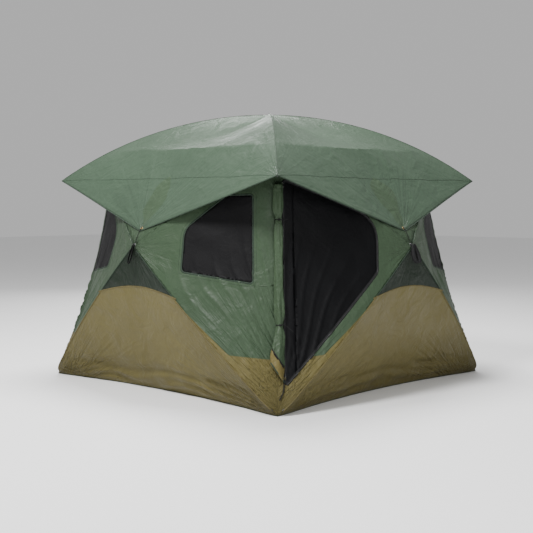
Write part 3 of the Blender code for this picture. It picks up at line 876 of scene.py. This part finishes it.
def build_window_panel(panel):
    """A side triangle with a mesh window, its hem, the stitching round it and the seam under it."""
    window = side_outline(panel, WINDOW_CORNERS, WINDOW_RADII)
    name = f"{panel.wall.side}_{panel.kind}"
    cloth = cloth_mesh(f"{name}_cloth", panel, panel.outline(), [window], [(tan_zone(panel), "tan")], "green")
    net = cloth_mesh(f"{name}_window_mesh", panel, window, [], [], "mesh", lift=-0.002)
    on_panel = panel.raised(0.0008)
    hem = strip(f"{name}_window_hem", on_panel, grown(window, 0.006), 0.012, "binding", 0.0004, closed=True)
    path = [panel.point(p.x, p.y, 0.0010) for p in resampled(grown(window, 0.028), 0.015, True)]
    stitch = tube(f"{name}_window_stitching", path, 0.0007, "binding", closed=True, resolution=1)
    sill = panel.from_bottom(WINDOW_CORNERS[0][0] - 0.024)
    seam_path = [Vector((sill, d)) for d in (0.015, 0.14)]
    seam = strip(f"{name}_sill_seam", on_panel, seam_path, 0.010, "green", 0.0010)
    for obj in (cloth, net, hem, seam):
        blend_at_edge(obj)
    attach(stitch, panel.name)
    declare_panel(panel, window)
    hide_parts(panel.name)


def clipped(outline, level, above):
    """The part of an outline with d above or below a level."""
    kept = []
    for start, end in zip(outline, outline[1:] + outline[:1]):
        if (start.y >= level) == above:
            kept.append(start)
        if (start.y >= level) != (end.y >= level):
            kept.append(start.lerp(end, (level - start.y) / (end.y - start.y)))
    return kept


def build_door_panel(panel):
    """The doorway's cloth, its zip, the fixed strip that the screen door is sewn to, and the screen door."""
    door = DOOR_OF[panel.wall.side]
    opening = side_outline(panel, DOOR_CORNERS, DOOR_RADII)
    name = f"{panel.wall.side}_{panel.kind}"
    fixed, moving = (clipped(opening, DOOR_HINGE_LINE, above) for above in (False, True))
    zones = [(tan_zone(panel), "tan"), (fixed, "screen")]
    cloth = cloth_mesh(f"{name}_cloth", panel, panel.outline(), [moving], zones, "green")
    edge = grown(opening, -0.002)
    zip_tape = strip(f"{name}_zip_tape", panel.raised(0.0015), edge, 0.018, "tape", 0.0010, closed=True)
    coil_points = [panel.point(p.x, p.y, 0.0028) for p in resampled(opening, 0.01, True)]
    coil = tube(f"{name}_zip_coil", coil_points, 0.0022, "zip", closed=True)
    for obj in (cloth, zip_tape):
        blend_at_edge(obj)
    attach(coil, panel.name)
    along, across = DOOR_CORNERS[3]
    top = Vector((panel.from_bottom(along - 0.030), across - 0.004))
    pull = zip_pull(f"{door}_zip_pull", panel, top)
    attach(pull, panel.name)
    declare_panel(panel, moving)
    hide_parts(panel.name)
    net = cloth_mesh(f"{door}_door_mesh", panel, moving, [], [], "screen", lift=-0.003)
    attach(net, f"{door}_screen_door")
    polygon_area(moving)
    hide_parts(f"{door}_screen_door")


def zip_pull(name, panel, spot):
    """A second slider at rest at the top of the zip: its body and the tab that hangs from it."""
    bm = bmesh.new()
    for size, drop, proud in ZIP_PULL:
        made = bmesh.ops.create_cube(bm, size=1.0)["verts"]
        bmesh.ops.scale(bm, vec=size, verts=made)
        bmesh.ops.translate(bm, vec=(drop, 0.0, proud), verts=made)
    matrix = axes_at(panel.along, panel.inward, panel.normal, panel.point(spot.x, spot.y))
    bmesh.ops.transform(bm, matrix=matrix, verts=bm.verts)
    pull = finish_mesh(name, bm, ["silver"])
    round_edges(pull, 0.0009, 2)
    return pull


def build_pole_seams(wall):
    """The welted seam over each pole: green above the tan cloth and tan below it."""
    for kind, (radius, spans) in POLE_SEAMS.items():
        panel = Panel(wall, kind)
        for key, far_end in zip(PANEL_ENDS[kind], (False, True)):
            for number, (start, end, material) in enumerate(spans):
                points = []
                for index in range(41):
                    share = start + (end - start) * index / 40
                    s = panel.foot * share
                    if far_end:
                        s = panel.length - (panel.length - panel.foot) * share
                    points.append(panel.point(s, panel.depth * share, 0.0005))
                seam = tube(f"{wall.side}_seam_{key}_{number}", points, radius, material)
                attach(seam, f"{wall.side}_pole_{key}")


def build_hub(wall):
    """The hub's outside: the boss and the long pull-strap loop."""
    name = f"{wall.side}_hub"
    bm = bmesh.new()
    bmesh.ops.create_cone(bm, cap_ends=True, segments=40, radius1=0.024, radius2=0.018, depth=0.016)
    matrix = axes_at(wall.across, wall.up, wall.normal, wall.at_hub(0.0, 0.0, 0.008))
    bmesh.ops.transform(bm, matrix=matrix, verts=bm.verts)
    cap = finish_mesh(f"{name}_cap", bm, ["plastic"])
    round_edges(cap, 0.003, 3)
    loop = []
    for index in range(33):
        turn = 2 * math.pi * index / 32
        swing = 0.5 - 0.5 * math.cos(turn)
        bulge = 0.027 * math.sin(turn) * (0.35 + 0.65 * swing)
        loop.append(wall.at_hub(0.004 + bulge, 0.010 - 0.136 * swing, 0.022 + 0.022 * swing + 0.3 * bulge))
    facing = (wall.normal * 0.80 + wall.across * 0.60).normalized()
    strap = band(f"{name}_strap", loop, facing, 0.030, 2, 0.002, 0.01)
    for obj in (cap, strap):
        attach(obj, name)


def build_wall(side):
    wall = Wall(side)
    for kind in PANEL_ENDS:
        panel = Panel(wall, kind)
        if kind == "lower":
            build_lower(panel)
        elif kind == "upper":
            build_upper(panel)
        elif kind == "left" and side in DOOR_OF:
            build_door_panel(panel)
        else:
            build_window_panel(panel)
    build_pole_seams(wall)
    build_hub(wall)


# ---------------------------------------------------------------- rain fly


def fly_ridge(radius):
    """The height of the arc from the top of the fly over a bow to a tip."""
    tip = math.hypot(FLY_TIP.x, FLY_TIP.y)
    rise = FLY_TOP - FLY_TIP.z
    arc = (tip**2 + rise**2) / (2 * rise)
    return FLY_TOP - arc + math.sqrt(arc**2 - radius**2)


def fly_roof(out, share):
    """The fly over the roof, from the middle of a side at share 0 to the bow at share 1."""
    over_wall = FLY_TOP + (FLY_EDGE_HEIGHT - FLY_TOP) * out / TOP_HALF
    height = over_wall + (fly_ridge(out * math.sqrt(2)) - over_wall) * share**1.6
    return Vector((out, out * share, height))


def fly_skirt(down, share):
    """The fly past the top of the wall, which hangs to a flap at share 0 and to a tip at share 1."""
    start = fly_roof(TOP_HALF, share)
    end = FLY_FLAP.lerp(FLY_TIP, share)
    point = start.lerp(end, down)
    ridge = fly_roof(TOP_HALF, 1.0).lerp(FLY_TIP, down)
    point.z += (fly_ridge(ridge.xy.length) - ridge.z) * share**5
    fullness = FLY_EASE * (1.0 - share) * arch(0.5 * down + 0.25 * down * (1.0 - down))
    point.x += fullness * (0.35 + 0.65 * arch(share)) - FLY_EDGE_HOLLOW * arch(share) * down
    return point


def fly_point(down, share):
    """The fly over one eighth: down 0 to 1 on the roof and 1 to 2 on the skirt."""
    return fly_roof(TOP_HALF * down, share) if down <= 1.0 else fly_skirt(down - 1.0, share)


def four_quarters(point_at, columns):
    """A closed ring round the fly. point_at gives it over one eighth, for each share from flap to tip."""
    eighth = [point_at(index / columns) for index in range(columns + 1)]
    quarter = eighth + [Vector((p.y, p.x, p.z)) for p in reversed(eighth[1:-1])]
    return [turn @ p for turn in QUARTER_TURNS for p in quarter]


def fly_sheet():
    """The fly as one cloth in rings, with thread coordinates and distances from its tips and flaps."""
    bm = bmesh.new()
    threads, pulls, hubs = (bm.loops.layers.uv.new(layer) for layer in ("cloth", "corner", "hub"))
    rings = []
    for number in range(1, FLY_RINGS + 1):
        down = 2.0 * number / FLY_RINGS
        ring = four_quarters(lambda share: fly_point(down, share), FLY_COLUMNS)
        rings.append([bm.verts.new(p + fly_wrinkle(p, down)) for p in ring])
    top = bm.verts.new((0.0, 0.0, FLY_TOP))
    for vert, after in zip(rings[0], rings[0][1:] + rings[0][:1]):
        bm.faces.new((top, vert, after))
    for inner, outer in zip(rings, rings[1:]):
        for index in range(len(outer)):
            after = (index + 1) % len(outer)
            bm.faces.new((inner[index], outer[index], outer[after], inner[after]))
    for face in bm.faces:
        middle = face.calc_center_median()
        ahead = Vector((1.0, 0.0)) if abs(middle.x) > abs(middle.y) else Vector((0.0, 1.0))
        ahead = Vector((math.copysign(ahead.x, middle.x), math.copysign(ahead.y, middle.y)))
        tip = Vector((math.copysign(FLY_TIP.x, middle.x), math.copysign(FLY_TIP.y, middle.y)))
        inward = -tip.normalized()
        for loop in face.loops:
            place = loop.vert.co.xy
            loop[threads].uv = place
            from_tip = place - tip
            loop[pulls].uv = (from_tip.dot(inward), from_tip.dot(Vector((-inward.y, inward.x))))
            from_flap = place - ahead * FLY_FLAP.x
            loop[hubs].uv = (-from_flap.dot(ahead), from_flap.dot(Vector((-ahead.y, ahead.x))))
    cloth = finish_mesh("fly_cloth", bm, ["fly"], CLOTH_THICK)
    cloth.data.set_sharp_from_angle(angle=math.radians(30))
    return cloth


def fly_wrinkle(point, down):
    """Pull lines from the corners and soft sag between the bows."""
    angle = math.atan2(abs(point.y), abs(point.x))
    off_bow = 1.0 - abs(math.cos(2 * (angle - math.pi / 4)))
    seed = Vector((point.x, point.y, point.z * 0.6)) * 2.4
    fade = smooth((2.0 - down) / 0.25) * smooth(abs(angle - math.pi / 4) / 0.10)
    small = 0.009 * noise.noise(seed) + 0.004 * noise.noise(seed * 3.1)
    sag = -0.010 * off_bow * arch(min(1.0, down))
    beside = abs(math.sin(angle)) if abs(point.y) < abs(point.x) else abs(math.cos(angle))
    crease = 1.0 - abs(math.sin(5.2 * down + 11.0 * beside + 2.4 * noise.noise(seed * 0.6)))
    pull = 0.007 * crease**3 * (0.4 + 1.2 * abs(noise.noise(seed * 0.9))) * smooth((down - 0.55) / 0.5)
    return UP * (fade * (small + pull) + sag)


def round_the_fly(down_at):
    """A closed line round the fly. down_at gives how far down it lies for each share from flap to tip."""
    return four_quarters(lambda share: fly_surface(down_at(share), share), 28)


def fly_surface(down, share):
    point = fly_point(down, share)
    return point + fly_wrinkle(point, down)


def eyelet(name, centre, normal, inner, width):
    """A brass ring pressed into the cloth."""
    bm = bmesh.new()
    rise = 0.0016
    profile = ((inner, 0.0), (inner + 0.2 * width, rise), (inner + 0.8 * width, rise), (inner + width, 0.0))
    rings = []
    for step in range(24):
        turn = 2 * math.pi * step / 24
        arm = Vector((math.cos(turn), math.sin(turn), 0.0))
        rings.append([bm.verts.new(arm * radius + UP * height) for radius, height in profile])
    for ring, after in zip(rings, rings[1:] + rings[:1]):
        for spot in range(4):
            nxt = (spot + 1) % 4
            bm.faces.new((ring[spot], after[spot], after[nxt], ring[nxt]))
    matrix = normal.to_track_quat("Z", "Y").to_matrix().to_4x4()
    matrix.translation = centre
    bmesh.ops.transform(bm, matrix=matrix, verts=bm.verts)
    return finish_mesh(name, bm, ["brass"])


def flap_fold(share):
    """How far down the fly the straight fold from tip to tip lies."""
    high = fly_roof(TOP_HALF, share).z
    low = FLY_FLAP.lerp(FLY_TIP, share).z
    return 1.0 + (high - FLY_TIP.z) / (high - low)


def surface_of(obj):
    """The middle surface of a cloth piece, before it is given its thickness."""
    bm = bmesh.new()
    bm.from_mesh(obj.data)
    tree = BVHTree.FromBMesh(bm)
    bm.free()
    return tree


def laid_on(surface, point, lift):
    """The nearest point of a surface, lifted off it on the outside."""
    place, normal, _, _ = surface.find_nearest(point)
    if normal.dot(place - Vector((0.0, 0.0, 1.0))) < 0.0:
        normal = -normal
    return place + normal * (CLOTH_THICK / 2 + lift)


def build_fly():
    """The rain fly with its hem, its seams and an eyelet in each flap."""
    fly = fly_sheet()
    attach(fly, "fly")
    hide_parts("rain_fly")
    surface = surface_of(fly)
    pieces = [tube("fly_hem", round_the_fly(lambda share: 2.0), 0.0032, "binding", closed=True)]
    seam = [laid_on(surface, p, 0.0004) for p in resampled(round_the_fly(flap_fold), 0.012, True)]
    pieces.append(tube("fly_flap_seam", seam, 0.0012, "fly_binding", closed=True))
    lowest, above = fly_point(2.0, 0.0), fly_point(1.80, 0.0)
    slope = (above - lowest).normalized()
    outward = Vector((slope.z, 0.0, -slope.x)).normalized()
    eyelet_at = lowest + slope * 0.026 + outward * 0.0012
    for number, turn in enumerate(QUARTER_TURNS):
        ridge = [turn @ fly_surface(2.0 * index / 60, 1.0) for index in range(1, 61)]
        ridge = [laid_on(surface, p, 0.0010) for p in ridge]
        pieces.append(tube(f"fly_ridge_seam_{number}", ridge, 0.0016, "fly_binding"))
        pieces.append(eyelet(f"fly_eyelet_{number}", turn @ eyelet_at, turn @ outward, 0.0050, 0.0065))
    for piece in pieces:
        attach(piece, "fly")


# ---------------------------------------------------------------- floor, roof and the rest


def build_ground():
    """The floor with its hem piping."""
    hem = []
    for side in SIDES:
        panel = Panel(Wall(side), "lower")
        hem += [panel.point(panel.length * index / 60, 0.0) for index in range(60)]
    bm = bmesh.new()
    threads = bm.loops.layers.uv.new("cloth")
    middle = bm.verts.new((0.0, 0.0, 0.002))
    rim = [bm.verts.new((p.x, p.y, 0.002)) for p in hem]
    for vert, after in zip(rim, rim[1:] + rim[:1]):
        bm.faces.new((middle, vert, after))
    flat_threads(bm, threads)
    floor = finish_mesh("floor_cloth", bm, ["floor"], 0.0015)
    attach(floor, "root")
    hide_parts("floor")
    raised = [Vector((p.x, p.y, max(p.z, 0.0) + 0.004)) for p in hem]
    piping = tube("hem_piping", raised, 0.0038, "binding", closed=True)
    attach(piping, "root")


def flat_threads(bm, threads):
    """Thread coordinates for a piece that lies flat or nearly so."""
    for face in bm.faces:
        for loop in face.loops:
            loop[threads].uv = loop.vert.co.xy


def canopy_point(out, share):
    """The roof cloth over one wall, with share from -1 to 1 between its two poles."""
    reach = out / TOP_HALF
    flat = TOP_HEIGHT + CANOPY_LIFT + ROOF_BULGE * (1 - reach)
    return Vector((out, out * share, flat + 4 * ROOF_BOW * reach * (1 - reach) * share**2))


def build_canopy():
    """The roof's four cloth triangles."""
    for side, turn in zip(SIDES, QUARTER_TURNS):
        bm = bmesh.new()
        threads = bm.loops.layers.uv.new("cloth")
        rows = []
        for ring in range(21):
            out = CANOPY_HOLE + (TOP_HALF - CANOPY_HOLE) * ring / 20
            rows.append([bm.verts.new(turn @ canopy_point(out, -1 + index / 10)) for index in range(21)])
        for row, after in zip(rows, rows[1:]):
            for index in range(20):
                bm.faces.new((row[index], after[index], after[index + 1], row[index + 1]))
        flat_threads(bm, threads)
        cloth = finish_mesh(f"{side}_roof_cloth", bm, ["plain"], CLOTH_THICK)
        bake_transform(cloth)
    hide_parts("roof_canopy")


def corner_curve(height):
    """How far out the gathered corner seam lies at a height."""
    share = height / TOP_HEIGHT
    straight = math.sqrt(2) * (BASE_HALF + (TOP_HALF - BASE_HALF) * share)
    return straight - CORNER_HOLLOW * arch(share)


def rolled_cloth(name, outward, sideways):
    """The roll: green above and tan below, uneven, and drawn in by its ties."""
    bm = bmesh.new()
    threads = bm.loops.layers.uv.new("cloth")
    rows, stations, around = [], 110, 32
    low, high = ROLL_SPAN
    for station in range(stations + 1):
        height = low + (high - low) * station / stations
        share = station / stations
        middle = roll_middle(height, outward, sideways)
        tied = max(math.exp(-(((height - tie) / 0.035) ** 2)) for tie in ROLL_TIES)
        uneven = 1.0 + 0.16 * noise.noise(Vector((0.0, 0.0, height * 7.0)))
        flared = 1.0 + 0.45 * smooth((0.48 - height) / 0.20)
        radius = ROLL_RADIUS * uneven * (1.0 - 0.40 * tied) * flared
        row = []
        for index in range(around):
            turn = 2 * math.pi * index / around
            spot = Vector((1.6 * math.cos(turn), 1.6 * math.sin(turn), height * 6.0))
            folds = 1.0 + 0.13 * math.sin(4 * turn + 7 * share + 2.5 * noise.noise(spot * 0.8))
            folds += 0.22 * noise.noise(spot * 1.7)
            arm = (outward * math.cos(turn) * ROLL_FLATNESS + sideways * math.sin(turn)) * radius * folds
            row.append(bm.verts.new(middle + arm + UP * slant(height) * arm.dot(sideways)))
        rows.append(row)
    for station, (row, after) in enumerate(zip(rows, rows[1:])):
        height = low + (high - low) * (station + 0.5) / stations
        for index in range(around):
            nxt = (index + 1) % around
            face = bm.faces.new((row[index], row[nxt], after[nxt], after[index]))
            face.material_index = 1 if height < ROLL_TAN_TOP else 0
            corners = ((index, station), (index + 1, station), (index + 1, station + 1), (index, station + 1))
            for loop, (turned, risen) in zip(face.loops, corners):
                loop[threads].uv = (turned * 0.008, risen * 0.013)
    bm.faces.new(reversed(rows[0]))
    bm.faces.new(rows[-1])
    return finish_mesh(name, bm, ["roll", "roll_tan"])


def hanging_cord(name, path, radius):
    """A free end of cord, which hangs from the standing frame."""
    tail = tube(name, smoothed(path), radius, "tape")
    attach(tail, "root")
    length = sum((b - a).length for a, b in zip(path, path[1:]))
    tuple(path[0])


def build_door_roll(door, diagonal):
    """The outer door rolled up along the corner seam, with two ties, its zip and the hem's piping."""
    outward = Vector((math.cos(diagonal), math.sin(diagonal), 0.0))
    sideways = Vector((-math.sin(diagonal), math.cos(diagonal), 0.0))
    roll = rolled_cloth(f"{door}_rolled_door", outward, sideways)
    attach(roll, "root")
    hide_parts(f"{door}_door_roll")
    for number, (tie, reach) in enumerate(zip(ROLL_TIES, TIE_TAILS)):
        ring = roll_ring(tie, 0.0205, outward, sideways)
        cord = tube(f"{door}_roll_tie_{number}", ring, 0.0028, "tape", closed=True)
        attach(cord, "root")
        knot_at = roll_middle(tie, outward, sideways) + outward * 0.019 + sideways * 0.004
        knot = blob(f"{door}_tie_knot_{number}", knot_at, 0.0065, "tape")
        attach(knot, "root")
        path = [knot_at + outward * 0.006 + sideways * across + UP * down for across, down in reach]
        hanging_cord(f"{door}_tie_tail_{number}", path, 0.0021)
    zip_ring = roll_ring(ROLL_ZIP_HEIGHT, 0.0405, outward, sideways)
    zip_band = band(f"{door}_roll_zip_band", zip_ring, UP, 0.020, 1, 0.0018, 0.009, closed=True)
    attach(zip_band, "root")
    hem_ring = roll_ring(ROLL_SPAN[0] + 0.004, 0.0440, outward, sideways)
    piping = tube(f"{door}_roll_piping", hem_ring, 0.0040, "binding", closed=True)
    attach(piping, "root")
    path = [outward * (corner_curve(z) + 0.014) + sideways * across + UP * z for z, across in ZIP_TAIL]
    hanging_cord(f"{door}_zip_tail", path, 0.0042)


def slant(height):
    """The rolled door hangs askew at its lower end."""
    return -1.45 * smooth((0.52 - height) / 0.16)


def roll_middle(height, outward, sideways):
    """The middle of the rolled door at a height."""
    aside = 0.018 - 0.014 * smooth((0.5 - height) / 0.2)
    return outward * (corner_curve(height) + 0.026) + UP * height + sideways * aside


def roll_ring(height, radius, outward, sideways):
    """A closed line round the roll."""
    middle = roll_middle(height, outward, sideways)
    ring = []
    for index in range(28):
        turn = 2 * math.pi * index / 28
        arm = (outward * math.cos(turn) * ROLL_FLATNESS + sideways * math.sin(turn)) * radius
        ring.append(middle + arm + UP * slant(height) * arm.dot(sideways))
    return ring


def blob(name, centre, radius, material):
    """A small knot."""
    bm = bmesh.new()
    bmesh.ops.create_icosphere(bm, subdivisions=3, radius=radius)
    threads = bm.loops.layers.uv.new("cloth")
    for vert in bm.verts:
        vert.co *= 1.0 + 0.25 * noise.noise(vert.co * 180.0)
    for face in bm.faces:
        for loop in face.loops:
            loop[threads].uv = loop.vert.co.xz
    bmesh.ops.translate(bm, vec=centre, verts=bm.verts)
    return finish_mesh(name, bm, [material])


def smoothed(points, steps=6):
    """A Catmull-Rom curve through the points."""
    result = []
    for index in range(len(points) - 1):
        p0, p1, p2 = points[max(0, index - 1)], points[index], points[index + 1]
        p3 = points[min(len(points) - 1, index + 2)]
        linear, square, cube = p2 - p0, 2 * p0 - 5 * p1 + 4 * p2 - p3, 3 * p1 - p0 - 3 * p2 + p3
        for step in range(steps):
            t = step / steps
            result.append(0.5 * (2 * p1 + linear * t + square * t**2 + cube * t**3))
    result.append(points[-1])
    return result


def build_cords():
    """The elastic cord from each fly flap to its wall hub."""
    for side in SIDES:
        wall = Wall(side)
        points = [wall.out * x + UP * z for x, z in FLY_CORD_ROUTE]
        cord = tube(f"{side}_flap_cord", points, 0.002, "cord")
        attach(cord, "fly")
        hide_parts(f"{side}_fly_cord")
        start = tuple(points[0])


def dress_cad_nodes():
    """Materials for the CAD's own pieces that stay in sight."""
    finishes = {"pole": "rod", "hub": "plastic", "top_corner": "plastic", "zip_slider": "silver"}
    for name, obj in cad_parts.items():
        for word, material in finishes.items():
            if word in name:
                obj.data.materials.clear()
                obj.data.materials.append(MATERIALS[material])


add_camera()
add_studio()
MATERIALS = make_materials()
dress_cad_nodes()
build_cords()
for side in SIDES:
    build_wall(side)
build_fly()
build_ground()
build_canopy()
build_door_roll("front", -math.pi / 4)
build_door_roll("rear", 3 * math.pi / 4)
